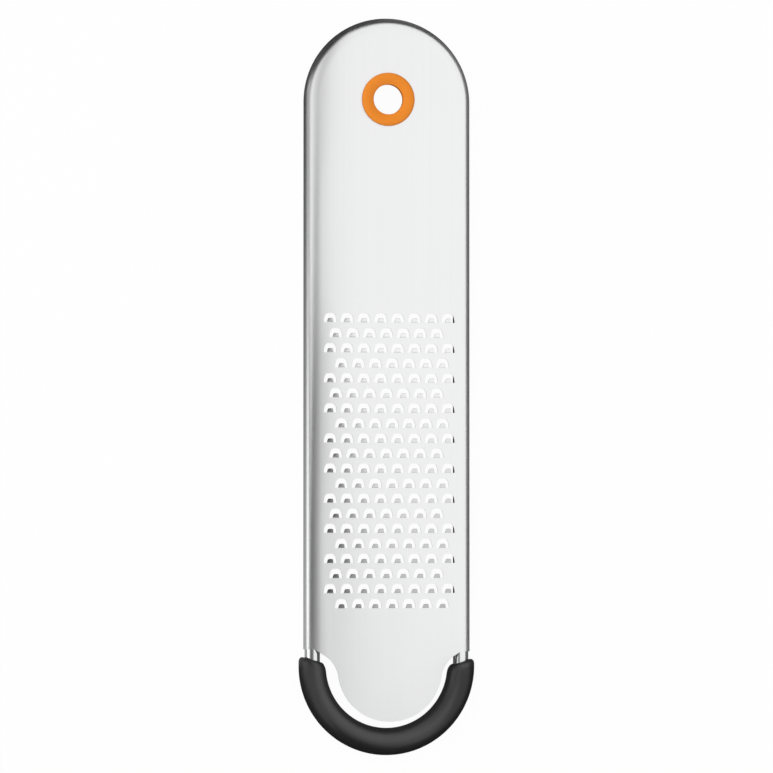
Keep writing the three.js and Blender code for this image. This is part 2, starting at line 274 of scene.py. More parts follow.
def on_face(x, y):
    """Points of the sheet's outer face over x and y: flat as far as the rim, then the first part of
    the shoulder's arc. Past the arch's centre, distances from the middle line count from there."""
    reach = np.hypot(x, np.maximum(y - arch_y, 0))
    past_flat = np.maximum(reach - flat_half, 0)
    drop = SHOULDER_RADIUS - np.sqrt(SHOULDER_RADIUS**2 - past_flat**2)
    return np.stack([x, y, face_height - drop], axis=-1)


def plain_patch(x_nodes, y_nodes):
    """A rectangle of the face with no openings."""
    x, y = np.meshgrid(x_nodes, y_nodes)
    return on_face(x, y), grid_faces(len(y_nodes), len(x_nodes))


def rectangle_loop(x_nodes, y_nodes):
    """The nodes round a rectangle in plan, anticlockwise from its lower left corner."""
    across = np.ones(len(x_nodes) - 1)
    along = np.ones(len(y_nodes) - 1)
    bottom = np.stack([x_nodes[:-1], y_nodes[0] * across], axis=-1)
    right = np.stack([x_nodes[-1] * along, y_nodes[:-1]], axis=-1)
    top = np.stack([x_nodes[:0:-1], y_nodes[-1] * across], axis=-1)
    left = np.stack([x_nodes[0] * along, y_nodes[:0:-1]], axis=-1)
    return np.concatenate([bottom, right, top, left])


def opening_loop():
    """The opening's edge in plan, anticlockwise from the left end of its straight base: the base,
    whose middle stretch is the tooth's root, then half a superellipse that narrows with the square
    of its height."""
    half = OPENING_WIDTH / 2
    root_half = TOOTH_ROOT_WIDTH / 2
    root = np.linspace(-root_half, root_half, TOOTH_STEPS_ACROSS + 1)
    beside = np.linspace(root_half, half, ROOT_STEPS_BESIDE + 1)[1:]
    base_x = np.concatenate([-beside[::-1], root, beside])
    base = np.stack([base_x, np.zeros_like(base_x)], axis=-1)
    turn = np.linspace(0, math.pi, DENSE_STEPS)
    power = 2 / OPENING_SQUARENESS
    rise = np.abs(np.sin(turn)) ** power
    reach = np.sign(np.cos(turn)) * np.abs(np.cos(turn)) ** power
    narrowed = half * reach * (1 - OPENING_TAPER * rise**2)
    crown = np.stack([narrowed, OPENING_HEIGHT * rise], axis=-1)
    crown_steps = PITCH_STEPS + 2 * CELL_SIDE_STEPS
    return np.concatenate([base[:-1], evenly_spaced(crown, crown_steps + 1)[:-1]])


def tooth_grid():
    """The tooth above its root, in plan and height: it narrows evenly along its way, its tip is
    rounded, and its height grows evenly with its reach and falls off to both sides as a parabola."""
    across, along = np.meshgrid(
        np.linspace(-1, 1, TOOTH_STEPS_ACROSS + 1), np.linspace(0, 1, TOOTH_STEPS_ALONG + 1)
    )
    half = (TOOTH_ROOT_WIDTH + (TOOTH_TIP_WIDTH - TOOTH_ROOT_WIDTH) * along) / 2
    reach = TOOTH_REACH * along * (1 - TOOTH_TIP_ROUND * across**2 * along)
    height = TOOTH_RISE * reach / TOOTH_REACH * (1 - TOOTH_CROWN * across**2)
    return np.stack([across * half, reach, height], axis=-1).reshape(-1, 3)


def tooth_cells(centres):
    """The cells of sheet round the teeth: each is a band of quads from a rectangle to the opening,
    with the tooth standing on the opening's base. Both are set over a little in the rectangle."""
    x_nodes = np.linspace(-COLUMN_PITCH / 2, COLUMN_PITCH / 2, PITCH_STEPS + 1)
    y_nodes = np.linspace(-row_margin, ROW_PITCH - row_margin, CELL_SIDE_STEPS + 1)
    outline = rectangle_loop(x_nodes, y_nodes)
    band = np.concatenate([outline, opening_loop()])
    tooth = tooth_grid()
    plan = np.concatenate([band, tooth[:, :2]])
    plan[len(outline) :, 0] += FIELD_SHIFT
    rise = np.concatenate([np.zeros(len(band)), tooth[:, 2]])
    band_faces = grid_faces(2, len(outline), close_columns=True)
    tooth_faces = grid_faces(TOOTH_STEPS_ALONG + 1, TOOTH_STEPS_ACROSS + 1) + len(band)
    cell_faces = np.concatenate([band_faces, tooth_faces])
    places = centres[:, None, :] + plan[None, :, :]
    points = on_face(places[..., 0], places[..., 1])
    points[..., 2] += rise
    numbering = np.arange(len(centres))[:, None, None] * len(plan)
    return points, (cell_faces[None] + numbering).reshape(-1, 4)


def tooth_field():
    """All rows: full rows alternate with rows that are set over by a third and by two thirds of a
    pitch, which have one tooth less and plain sheet at both ends."""
    step = COLUMN_PITCH / PITCH_STEPS
    patches = []
    centres = []
    for row in range(ROWS):
        shift = ROW_SHIFTS[row % len(ROW_SHIFTS)]
        count = COLUMNS - 1 if shift else COLUMNS
        left = shift * step - field_half
        right = left + count * COLUMN_PITCH
        root = first_root - row * ROW_PITCH
        x = left + (np.arange(count) + 0.5) * COLUMN_PITCH
        centres.append(np.stack([x, np.full(count, root)], axis=-1))
        if shift:
            y_nodes = np.linspace(-row_margin, ROW_PITCH - row_margin, CELL_SIDE_STEPS + 1) + root
            patches.append(plain_patch(np.linspace(-field_half, left, shift + 1), y_nodes))
            rest = PITCH_STEPS - shift
            patches.append(plain_patch(np.linspace(right, field_half, rest + 1), y_nodes))
    patches.append(tooth_cells(np.concatenate(centres)))
    return patches


def ring_patch(x_nodes):
    """The head of the sheet: a fan of quads from its outline, which is three sides of a rectangle
    and the arch, to the round hole for the hang ring."""
    y_nodes = np.linspace(arch_y - field_half, arch_y, RING_SIDE_STEPS + 1)
    bottom = np.stack([x_nodes[:-1], np.full(len(x_nodes) - 1, y_nodes[0])], axis=-1)
    right = np.stack([np.full(RING_SIDE_STEPS, field_half), y_nodes[:-1]], axis=-1)
    arch = on_circle(0, arch_y, field_half, np.linspace(0, math.pi, ARCH_STEPS + 1)[:-1])
    left = np.stack([np.full(RING_SIDE_STEPS, -field_half), y_nodes[:0:-1]], axis=-1)
    outline = np.concatenate([bottom, right, arch, left])
    angles = np.arctan2(outline[:, 1] - ring_y, outline[:, 0])
    hole = on_circle(0, ring_y, RING_HOLE_RADIUS, angles)
    share = np.linspace(0, 1, RING_PATCH_STEPS + 1)[:, None, None]
    plan = outline + share * (hole - outline)
    faces = grid_faces(RING_PATCH_STEPS + 1, len(outline), close_columns=True)
    return on_face(plan[..., 0], plan[..., 1]), faces


def notch_place(side):
    """The distance of a side's notch from the middle line, and the direction from its centre to the
    tongue's. The notch's arc runs smoothly into the tongue's."""
    away = math.sqrt((TONGUE_RADIUS + NOTCH_RADIUS) ** 2 - (tongue_y - notch_y) ** 2)
    return side * TONGUE_OFFSET + away, math.atan2(tongue_y - notch_y, away)


def slanted_edge(distance, side):
    """Where the sheet's lower edge lies along Y, at a distance from the middle line outside the
    notch: it slants up as far as the end of the curl."""
    notch_x, _ = notch_place(side)
    start_x = notch_x - NOTCH_RADIUS * math.sin(notch_slant)
    start_y = notch_y + NOTCH_RADIUS * math.cos(notch_slant)
    slanted = start_y + (distance - start_x) * math.tan(notch_slant)
    return np.minimum(slanted, curl_stop - side * END_SKEW)


def half_lower_edge(side):
    """One side of the lower edge, from the tongue's lowest point out to the rim."""
    notch_x, meeting = notch_place(side)
    tongue_angles = np.linspace(-math.pi / 2, -meeting, DENSE_STEPS)
    notch_angles = np.linspace(math.pi - meeting, math.pi / 2 + notch_slant, DENSE_STEPS)
    tongue = on_circle(side * TONGUE_OFFSET, tongue_y, TONGUE_RADIUS, tongue_angles)
    notch = on_circle(notch_x, notch_y, NOTCH_RADIUS, notch_angles)
    rim_end = np.array([[field_half, slanted_edge(field_half, side)]])
    return np.concatenate([tongue, notch[1:], rim_end]) * [side, 1]


def lower_edge(count):
    """The sheet's lower edge in plan, from left to right: a slanted edge, a round notch, the round
    tongue, the other notch and slanted edge, which run into each other."""
    line = np.concatenate([half_lower_edge(-1)[:0:-1], half_lower_edge(1)])
    return evenly_spaced(line, count)


def lower_patch(x_nodes):
    """The sheet below the teeth: straight lines from the lower edge up to the last row."""
    edge = lower_edge(len(x_nodes))
    top = np.stack([x_nodes, np.full(len(x_nodes), field_bottom)], axis=-1)
    share = np.linspace(0, 1, LOWER_STEPS + 1)[:, None, None]
    plan = edge + share * (top - edge)
    return on_face(plan[..., 0], plan[..., 1]), grid_faces(LOWER_STEPS + 1, len(x_nodes))


def rim_strip(side_nodes):
    """The curled rim: a section carried up one side, round the arch and down the other side. The
    section turns along the wide shoulder and then round the wire. Below the teeth its lines run
    down to the slanted edge or to where the curl stops."""
    start = math.asin((field_half - flat_half) / SHOULDER_RADIUS)
    shoulder = np.linspace(start, shoulder_turn, SHOULDER_STEPS + 1)[:-1]
    turn = np.concatenate([shoulder, np.linspace(shoulder_turn, curl_turn, CURL_STEPS + 1)])
    is_shoulder = np.arange(len(turn)) < SHOULDER_STEPS
    offset = np.where(is_shoulder, shoulder_offset, 0)
    radius = np.where(is_shoulder, SHOULDER_RADIUS, curl_outside)
    reach = frame_radius + offset * math.sin(shoulder_turn) + radius * np.sin(turn)
    height = wire_height + offset * math.cos(shoulder_turn) + radius * np.cos(turn)
    share = np.linspace(0, 1, LOWER_STEPS + 1)[:, None]
    upper_y = np.broadcast_to(side_nodes[1:, None], (len(side_nodes) - 1, len(turn)))

    def straight(side):
        end = slanted_edge(reach, side)
        y = np.concatenate([end + share * (field_bottom - end), upper_y])
        x = np.broadcast_to(side * reach, y.shape)
        return np.stack([x, y, np.broadcast_to(height, y.shape)], axis=-1)

    angles = np.linspace(0, math.pi, ARCH_STEPS + 1)[1:-1, None]
    arch_height = np.broadcast_to(height, (len(angles), len(turn)))
    arch = np.stack(
        [reach * np.cos(angles), arch_y + reach * np.sin(angles), arch_height], axis=-1
    )
    strip = np.concatenate([straight(1), arch, straight(-1)[::-1]])
    return strip, grid_faces(len(strip), len(turn))


def tooth_lift(points):
    """How far points stand above the face, as a share of a tooth's rise."""
    return np.clip((points[:, 2] - face_height) / TOOTH_RISE, 0, 1)


def grater_sheet():
    """The whole sheet: patches that meet at common nodes, welded and given the sheet's thickness,
    which falls off towards the tips of the teeth."""
    x_nodes = np.linspace(-field_half, field_half, COLUMNS * PITCH_STEPS + 1)
    head_y = arch_y - field_half
    field_nodes = np.linspace(field_bottom, field_top, ROWS * CELL_SIDE_STEPS + 1)
    plain_nodes = np.linspace(field_top, head_y, PLAIN_STEPS + 1)
    head_nodes = np.linspace(head_y, arch_y, RING_SIDE_STEPS + 1)
    side_nodes = np.concatenate([field_nodes, plain_nodes[1:], head_nodes[1:]])
    patches = tooth_field()
    patches.append(plain_patch(x_nodes, plain_nodes))
    patches.append(ring_patch(x_nodes))
    patches.append(lower_patch(x_nodes))
    patches.append(rim_strip(side_nodes))
    points, faces = weld(patches)
    lift = tooth_lift(points)
    return thicken(points, faces, SHEET_THICKNESS * (1 - TOOTH_THINNING * lift))


# The wire, the foot sleeve and the hang ring


def wire_loop():
    """A circle carried round the closed loop of arch, side, foot bend and side."""
    half_turn = np.linspace(0, math.pi, ARCH_STEPS + 1)
    angles = np.concatenate([half_turn, half_turn + math.pi])[:, None]
    centre_y = np.repeat([arch_y, bend_y], ARCH_STEPS + 1)[:, None]
    around = np.linspace(0, 2 * math.pi, WIRE_SIDES, endpoint=False)
    reach = frame_radius + wire_radius * np.cos(around)
    height = np.broadcast_to(wire_height - wire_radius * np.sin(around), (len(angles), WIRE_SIDES))
    points = np.stack(
        [reach * np.cos(angles), centre_y + reach * np.sin(angles), height], axis=-1
    )
    faces = grid_faces(len(angles), WIRE_SIDES, close_rows=True, close_columns=True)
    return points.reshape(-1, 3), faces


def on_bend(along, outward, upward):
    """Points by their distance along the foot bend's centre line from its middle, and their place
    across it. Past the ends of the bend the line runs straight on."""
    in_bend = np.clip(along, -bend_length, bend_length)
    angle = in_bend / frame_radius - math.pi / 2
    reach = frame_radius + outward
    y = bend_y + reach * np.sin(angle) + np.abs(along - in_bend)
    return np.stack([reach * np.cos(angle), y, wire_height + upward], axis=-1)


def foot_sleeve():
    """The wall of the sleeve as one closed surface: along its outside, over the rounded end, back
    along its bore and over the other end. Each lengthwise line runs to its own end, because the
    ends slant. The end's rounding is a quarter of an ellipse that is longer on the inner side."""
    around = np.linspace(0, 2 * math.pi, FOOT_SIDES, endpoint=False)
    slant = math.tan(math.radians(FOOT_END_SLANT))
    inner_share = (1 - np.cos(around)) / 2
    rounding = FOOT_OUTER_ROUNDING + (FOOT_INNER_ROUNDING - FOOT_OUTER_ROUNDING) * inner_share
    bend_end = bend_length + FOOT_RISE

    def end_line(radius):
        return bend_end + slant * radius * np.cos(around)

    quarter = np.linspace(0, math.pi / 2, FOOT_END_STEPS + 1)[1:, None]
    end_radius = foot_radius - FOOT_END_ROUND * (1 - np.cos(quarter))
    end_along = end_line(end_radius) - rounding * (1 - np.sin(quarter))
    share = np.linspace(-1, 1, FOOT_STEPS + 1)[:, None]
    outer_along = share * (end_line(foot_radius) - rounding)
    bore_along = -share * end_line(FOOT_BORE_RADIUS)
    along = np.concatenate([outer_along, end_along, bore_along, -end_along[::-1]])
    outer_radius = np.full((len(share), 1), foot_radius)
    bore_radius = np.full((len(share), 1), FOOT_BORE_RADIUS)
    radius = np.concatenate([outer_radius, end_radius, bore_radius, end_radius[::-1]])
    points = on_bend(along - FOOT_SLIDE, radius * np.cos(around), -radius * np.sin(around))
    faces = grid_faces(len(along), FOOT_SIDES, close_rows=True, close_columns=True)
    return points.reshape(-1, 3), faces


def softened(corners, size):
    """A closed line of corners with each corner replaced by a short parabola. It starts and ends at
    that size from the corner, or nearer on a short side."""
    most_of_a_side = 0.4
    corners = np.array(corners, dtype=float)
    before = np.roll(corners, 1, axis=0) - corners
    after = np.roll(corners, -1, axis=0) - corners
    reach_before = np.minimum(size / np.linalg.norm(before, axis=1), most_of_a_side)[:, None]
    reach_after = np.minimum(size / np.linalg.norm(after, axis=1), most_of_a_side)[:, None]
    share = np.linspace(0, 1, CORNER_STEPS)[None, :, None]
    start = (corners + before * reach_before)[:, None]
    end = (corners + after * reach_after)[:, None]
    middle = corners[:, None]
    curve = (1 - share) ** 2 * start + 2 * share * (1 - share) * middle + share**2 * end
    return curve.reshape(-1, 2)


def turned(profile):
    """A closed profile of radius and height above the face, carried round the ring's axis."""
    angles = np.linspace(0, 2 * math.pi, RING_SIDES, endpoint=False)[:, None]
    radius, height = profile[::-1].T
    heights = np.broadcast_to(face_height + height, (RING_SIDES, len(profile)))
    points = np.stack([radius * np.cos(angles), ring_y + radius * np.sin(angles), heights], axis=-1)
    faces = grid_faces(RING_SIDES, len(profile), close_rows=True, close_columns=True)
    return points.reshape(-1, 3), faces


ring_back_top = -SHEET_THICKNESS - RING_CLEARANCE
ring_back_bottom = ring_back_top - RING_BACK_THICKNESS


def front_ring():
    """The front half of the hang ring: the barrel with its snap lip, and a flange whose crown is a
    sine arch with its crest nearer to the outer edge."""
    lip_top = ring_back_top - RING_BACK_STEP - RING_CLEARANCE
    lip_bottom = ring_back_bottom + RING_CLEARANCE
    lip_radius = RING_BARREL_RADIUS + RING_LIP
    barrel = softened(
        [
            (RING_BORE_RADIUS, lip_bottom),
            (RING_BARREL_RADIUS, lip_bottom),
            (lip_radius, (lip_bottom + lip_top) / 2),
            (lip_radius, lip_top),
            (RING_BARREL_RADIUS, lip_top),
            (RING_BARREL_RADIUS, RING_CLEARANCE),
            (flange_radius, RING_CLEARANCE),
            (flange_radius, RING_CLEARANCE + RING_EDGE),
            (RING_BORE_RADIUS, RING_CLEARANCE + RING_EDGE),
        ],
        RING_FRONT_SOFTNESS,
    )
    below_by = 0.05
    below_crown = barrel[barrel[:, 1] < RING_CLEARANCE + RING_EDGE - below_by]
    crown_rise = ring_high[2] - face_height - RING_CLEARANCE - RING_EDGE
    way_in = (1 - np.cos(np.linspace(0, math.pi, CROWN_STEPS + 1))) / 2
    arch = np.abs(np.sin(math.pi * way_in**RING_CREST_SHIFT)) ** RING_CREST_FULLNESS
    crown_radius = flange_radius + (RING_BORE_RADIUS - flange_radius) * way_in
    crown = np.stack([crown_radius, RING_CLEARANCE + RING_EDGE + crown_rise * arch], axis=-1)
    return turned(np.concatenate([below_crown, crown]))


def back_ring():
    """The back half of the hang ring: a flat ring with a recess that takes the snap lip."""
    bore = RING_BARREL_RADIUS + RING_CLEARANCE
    recess = bore + RING_LIP
    step = ring_back_top - RING_BACK_STEP
    return turned(
        softened(
            [
                (recess, ring_back_bottom),
                (flange_radius, ring_back_bottom),
                (flange_radius, ring_back_top),
                (bore, ring_back_top),
                (bore, step),
                (recess, step),
            ],
            RING_BACK_SOFTNESS,
        )
    )


# Finishes

BURNISH = "burnish"
GRAIN_DEPTH = 0.01
BROAD_GRAIN = 0.12  # its scale, to that of the fine lines
MOTTLE = 0.06  # its scale, to that of the pits
STEEL_PATCHES = 24.0  # of handling, to a metre
MOULDED_PATCHES = 60.0


def add_node(tree, kind, inputs=None, **settings):
    """A shader node with its settings. An input takes a value, or a link where a socket is given."""
    made = tree.nodes.new("ShaderNode" + kind)
    for name, value in settings.items():
        setattr(made, name, value)
    for name, value in (inputs or {}).items():
        if isinstance(value, bpy.types.NodeSocket):
            tree.links.new(value, made.inputs[name])
        else:
            made.inputs[name].default_value = value
    return made


def shader_group(name, inputs, outputs):
    """An empty node group with named sockets, and its entry and exit nodes."""
    tree = bpy.data.node_groups.new(name, "ShaderNodeTree")
    for socket, kind in inputs.items():
        tree.interface.new_socket(socket, in_out="INPUT", socket_type=kind)
    for socket in outputs:
        tree.interface.new_socket(socket, in_out="OUTPUT", socket_type="NodeSocketFloat")
    return tree, tree.nodes.new("NodeGroupInput"), tree.nodes.new("NodeGroupOutput")


def drawn_grain_group():
    """Fine lines along Y, as rolling and brushing leave them: noise squeezed across and drawn out
    along the grain, with a broader, fainter streak for the tone."""
    tree, entry, leave = shader_group(
        "drawn_grain",
        {"Vector": "NodeSocketVector", "Lines": "NodeSocketFloat", "Drawn Out": "NodeSocketFloat"},
        ["Height", "Tone"],
    )
    lines = entry.outputs["Lines"]
    along = add_node(tree, "Math", {0: lines, 1: entry.outputs["Drawn Out"]}, operation="DIVIDE")
    scale = add_node(tree, "CombineXYZ", {"X": lines, "Y": along.outputs[0], "Z": lines})
    place = add_node(
        tree, "VectorMath", {0: entry.outputs["Vector"], 1: scale.outputs[0]}, operation="MULTIPLY"
    )
    fine = add_node(
        tree,
        "TexNoise",
        {"Vector": place.outputs[0], "Scale": 1.0, "Detail": 3.0, "Roughness": 0.6},
    )
    broad = add_node(
        tree,
        "TexNoise",
        {"Vector": place.outputs[0], "Scale": BROAD_GRAIN, "Detail": 2.0, "Roughness": 0.5},
    )
    tree.links.new(fine.outputs["Fac"], leave.inputs["Height"])
    tree.links.new(broad.outputs["Fac"], leave.inputs["Tone"])
    return tree


def handling_group():
    """Soft patches, as hands and cloths leave them: cloudy noise, lifted to a mask from 0 to 1."""
    tree, entry, leave = shader_group(
        "handling", {"Vector": "NodeSocketVector", "Patches": "NodeSocketFloat"}, ["Mask"]
    )
    cloud = add_node(
        tree,
        "TexNoise",
        {"Vector": entry.outputs["Vector"], "Scale": entry.outputs["Patches"], "Detail": 4.0},
    )
    mask = add_node(
        tree, "MapRange", {"Value": cloud.outputs["Fac"], "From Min": 0.35, "From Max": 0.68}
    )
    tree.links.new(mask.outputs["Result"], leave.inputs["Mask"])
    return tree


def moulded_group():
    """The skin of a moulded piece: fine spark-eroded pits from noise, and a broader mottle."""
    tree, entry, leave = shader_group(
        "moulded_skin",
        {"Vector": "NodeSocketVector", "Pits": "NodeSocketFloat"},
        ["Height", "Mottle"],
    )
    vector = entry.outputs["Vector"]
    pits = add_node(
        tree, "TexNoise", {"Vector": vector, "Scale": entry.outputs["Pits"], "Detail": 2.0}
    )
    broad_scale = add_node(tree, "Math", {0: entry.outputs["Pits"], 1: MOTTLE}, operation="MULTIPLY")
    mottle = add_node(
        tree, "TexNoise", {"Vector": vector, "Scale": broad_scale.outputs[0], "Detail": 3.0}
    )
    tree.links.new(pits.outputs["Fac"], leave.inputs["Height"])
    tree.links.new(mottle.outputs["Fac"], leave.inputs["Mottle"])
    return tree


drawn_grain = drawn_grain_group()
handling = handling_group()
moulded_skin = moulded_group()


def place_group(tree, group, inputs):
    """A placed node group with its own values or links."""
    return add_node(tree, "Group", inputs, node_tree=group)


def new_material(name):
    """A material with its shader, and the Object coordinates that its patterns are laid on."""
    material = bpy.data.materials.new(name)
    material.use_nodes = True
    tree = material.node_tree
    shader = tree.nodes["Principled BSDF"]
    place = tree.nodes.new("ShaderNodeTexCoord").outputs["Object"]
    return material, tree, shader, place


def colour_between(tree, factor, low, high):
    """A colour that runs from low to high with a factor."""
    mix = tree.nodes.new("ShaderNodeMix")
    mix.data_type = "RGBA"
    tree.links.new(factor, mix.inputs["Factor"])
    mix.inputs["A"].default_value = (*low, 1)
    mix.inputs["B"].default_value = (*high, 1)
    return mix.outputs["Result"]


def value_between(tree, factor, low, high):
    """A number that runs from low to high with a factor. Each end is a value or a socket."""
    made = add_node(tree, "MapRange", {"Value": factor, "To Min": low, "To Max": high})
    return made.outputs["Result"]


def bumped(tree, height, strength, depth):
    """A normal from a height; depth is in millimetres."""
    inputs = {"Height": height, "Strength": strength, "Distance": depth * MILLIMETRE}
    return add_node(tree, "Bump", inputs).outputs["Normal"]


def steel(name, lines, drawn_out, tones, roughness, burnished, bump):
    """Stainless steel with a drawn grain, and faint handling that changes its gloss. Where a mesh
    says that it is burnished, its roughness runs to that of pressed and polished steel."""
    material, tree, shader, place = new_material(name)
    grain_inputs = {"Vector": place, "Lines": lines, "Drawn Out": drawn_out}
    grain = place_group(tree, drawn_grain, grain_inputs)
    marks = place_group(tree, handling, {"Vector": place, "Patches": STEEL_PATCHES})
    colour = colour_between(tree, grain.outputs["Tone"], *tones)
    gloss = value_between(tree, marks.outputs["Mask"], *roughness)
    pressed = add_node(tree, "Attribute", attribute_name=BURNISH)
    gloss = value_between(tree, pressed.outputs["Fac"], gloss, burnished)
    shader.inputs["Metallic"].default_value = 1.0
    tree.links.new(colour, shader.inputs["Base Color"])
    tree.links.new(gloss, shader.inputs["Roughness"])
    normal = bumped(tree, grain.outputs["Height"], bump, GRAIN_DEPTH)
    tree.links.new(normal, shader.inputs["Normal"])
    return material


def moulded(name, pits, colours, roughness, specular, bump, depth):
    """A moulded rubber or plastic: mottled colour, pitted skin, and handling that changes its gloss."""
    material, tree, shader, place = new_material(name)
    skin = place_group(tree, moulded_skin, {"Vector": place, "Pits": pits})
    marks = place_group(tree, handling, {"Vector": place, "Patches": MOULDED_PATCHES})
    colour = colour_between(tree, skin.outputs["Mottle"], *colours)
    gloss = value_between(tree, marks.outputs["Mask"], *roughness)
    shader.inputs["Specular IOR Level"].default_value = specular
    tree.links.new(colour, shader.inputs["Base Color"])
    tree.links.new(gloss, shader.inputs["Roughness"])
    tree.links.new(bumped(tree, skin.outputs["Height"], bump, depth), shader.inputs["Normal"])
    return material


sheet_steel = steel(
    "brushed_sheet_steel",
    lines=7000.0,
    drawn_out=180.0,
    tones=((0.865, 0.87, 0.87), (0.90, 0.903, 0.903)),
    roughness=(0.31, 0.34),
    burnished=0.12,
    bump=0.12,
)
wire_steel = steel(
    "drawn_wire_steel",
    lines=9000.0,
    drawn_out=260.0,
    tones=((0.80, 0.805, 0.81), (0.86, 0.865, 0.87)),
    roughness=(0.10, 0.14),
    burnished=0.10,
    bump=0.05,
)
foot_rubber = moulded(
    "matte_foot_rubber",
    pits=2600.0,
    colours=((0.009, 0.009, 0.0095), (0.013, 0.013, 0.0135)),
    roughness=(0.40, 0.46),
    specular=1.0,
    bump=0.25,
    depth=0.03,
)
ring_plastic = moulded(
    "satin_ring_plastic",
    pits=4000.0,
    colours=((0.86, 0.255, 0.020), (0.91, 0.280, 0.025)),
    roughness=(0.46, 0.54),
    specular=0.25,
    bump=0.08,
    depth=0.02,
)


# Pieces


def add_piece(name, surface, material, nodes, sharp_angle):
    """A smooth-shaded mesh from points in millimetres and quads, which stands for nodes of the
    frame. It is returned so that more can be written on it."""
    points, faces = surface
    mesh = bpy.data.meshes.new(name)
    mesh.from_pydata((points * MILLIMETRE).tolist(), [], faces.tolist())
    mesh.materials.append(material)
    mesh.shade_smooth()
    mesh.set_sharp_from_angle(angle=math.radians(sharp_angle))
    piece = bpy.data.objects.new(name, mesh)
    bpy.context.scene.collection.objects.link(piece)
    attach(piece, "root")
    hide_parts(*nodes)
    return piece


def burnish_teeth(sheet, points):
    """Marks the teeth on the sheet's mesh, from 0 at their roots to 1 just above them."""
    marked_by = 0.15
    mark = sheet.data.attributes.new(BURNISH, "FLOAT", "POINT")
    mark.data.foreach_set("value", np.clip(tooth_lift(points) / marked_by, 0, 1))


WIRE_NODES = ("frame_wire_arch", "frame_wire_left", "frame_wire_right", "frame_wire_foot")
sheet_surface = grater_sheet()
sheet = add_piece(
    "toothed_sheet", sheet_surface, sheet_steel, ["grater_plate"], SHEET_CREASE
)
burnish_teeth(sheet, sheet_surface[0])
add_piece("wire_loop", wire_loop(), wire_steel, WIRE_NODES, WIRE_CREASE)
add_piece("foot_grip", foot_sleeve(), foot_rubber, ["foot_sleeve"], FOOT_CREASE)
ring_halves = (
    ("ring_front_half", front_ring(), "hang_ring_front"),
    ("ring_back_half", back_ring(), "hang_ring_back"),
)
for name, surface, node in ring_halves:
    add_piece(name, surface, ring_plastic, [node], RING_CREASE)


# Studio


def is_seen(tree):
    """1 for rays from the camera and for those that metal and glass send on, otherwise 0."""
    path = tree.nodes.new("ShaderNodeLightPath")
    seen = add_node(
        tree,
        "Math",
        {0: path.outputs["Is Camera Ray"], 1: path.outputs["Is Glossy Ray"]},
        operation="MAXIMUM",
    )
    seen = add_node(
        tree,
        "Math",
        {0: seen.outputs[0], 1: path.outputs["Is Transmission Ray"]},
        operation="MAXIMUM",
    )
    return seen.outputs[0]


def add_plane(name, corners, material):
    """A stage quad from four corners in millimetres."""
    mesh = bpy.data.meshes.new(name)
    mesh.from_pydata((np.array(corners, dtype=float) * MILLIMETRE).tolist(), [], [(0, 1, 2, 3)])
    mesh.materials.append(material)
    plane = bpy.data.objects.new(name, mesh)
    bpy.context.scene.collection.objects.link(plane)
    return plane


def floor_material():
    """A pale floor that reads as white, and still takes a little of the object's shadow."""
    material = bpy.data.materials.new("pale_floor")
    material.use_nodes = True
    tree = material.node_tree
    shader = tree.nodes["Principled BSDF"]
    shader.inputs["Base Color"].default_value = FLOOR_COLOUR
    shader.inputs["Roughness"].default_value = 1.0
    shader.inputs["Specular IOR Level"].default_value = 0.0
    white = add_node(tree, "Emission", {"Color": WHITE, "Strength": 1.0})
    share = add_node(tree, "Math", {0: is_seen(tree), 1: FLOOR_WHITE}, operation="MULTIPLY")
    mix = add_node(
        tree, "MixShader", {0: share.outputs[0], 1: shader.outputs[0], 2: white.outputs[0]}
    )
    tree.links.new(mix.outputs[0], tree.nodes["Material Output"].inputs["Surface"])
    return material


def card_material(shades, shade_range, axis):
    """A glowing grey for a studio card. It runs from one shade to the other between two places on
    an axis."""
    material = bpy.data.materials.new("studio_card")
    material.use_nodes = True
    tree = material.node_tree
    place = tree.nodes.new("ShaderNodeTexCoord").outputs["Object"]
    along = add_node(tree, "SeparateXYZ", {0: place}).outputs[axis]
    inputs = {"Value": along, "To Min": shades[0], "To Max": shades[1]}
    inputs["From Min"], inputs["From Max"] = (end * MILLIMETRE for end in shade_range)
    tone = add_node(tree, "MapRange", inputs).outputs["Result"]
    light = add_node(tree, "Emission", {"Color": WHITE, "Strength": tone})
    tree.links.new(light.outputs[0], tree.nodes["Material Output"].inputs["Surface"])
    return material


def add_card(name, corners, shades, shade_range=SHADE_ENDS, axis="Y"):
    """A card that shows in reflections and nowhere else."""
    card = add_plane(name, corners, card_material(shades, shade_range, axis))
    card.visible_camera = False
    card.visible_diffuse = False
    card.visible_transmission = False
    card.visible_volume_scatter = False
    card.visible_shadow = False


def level_corners(x_range, y_range, height):
    """The corners of a level rectangle."""
    (x0, x1), (y0, y1) = x_range, y_range
    return [(x0, y0, height), (x1, y0, height), (x1, y1, height), (x0, y1, height)]


def add_level_card(name, x_range, y_range, height, shades, shade_range=SHADE_ENDS):
    """A card that lies level."""
    add_card(name, level_corners(x_range, y_range, height), shades, shade_range)


def add_wall(name, start, end, z_range, shade):
    """An upright card over a line in plan."""
    (x0, y0), (x1, y1), (z0, z1) = start, end, z_range
    corners = [(x0, y0, z0), (x1, y1, z0), (x1, y1, z1), (x0, y0, z1)]
    add_card(name, corners, (shade, shade))


def add_left_panel(name, angles, shades, shade_range, ends=PANEL_ENDS):
    """A long card at the left, between two angles from the vertical over the left side of the
    frame, and between two ends along Y."""
    (x0, z0), (x1, z1) = (
        (
            -frame_radius - PANEL_DISTANCE * math.sin(angle),
            face_height + PANEL_DISTANCE * math.cos(angle),
        )
        for angle in np.radians(angles)
    )
    y0, y1 = ends
    corners = [(x0, y0, z0), (x1, y0, z1), (x1, y1, z1), (x0, y1, z0)]
    add_card(name, corners, shades, shade_range)


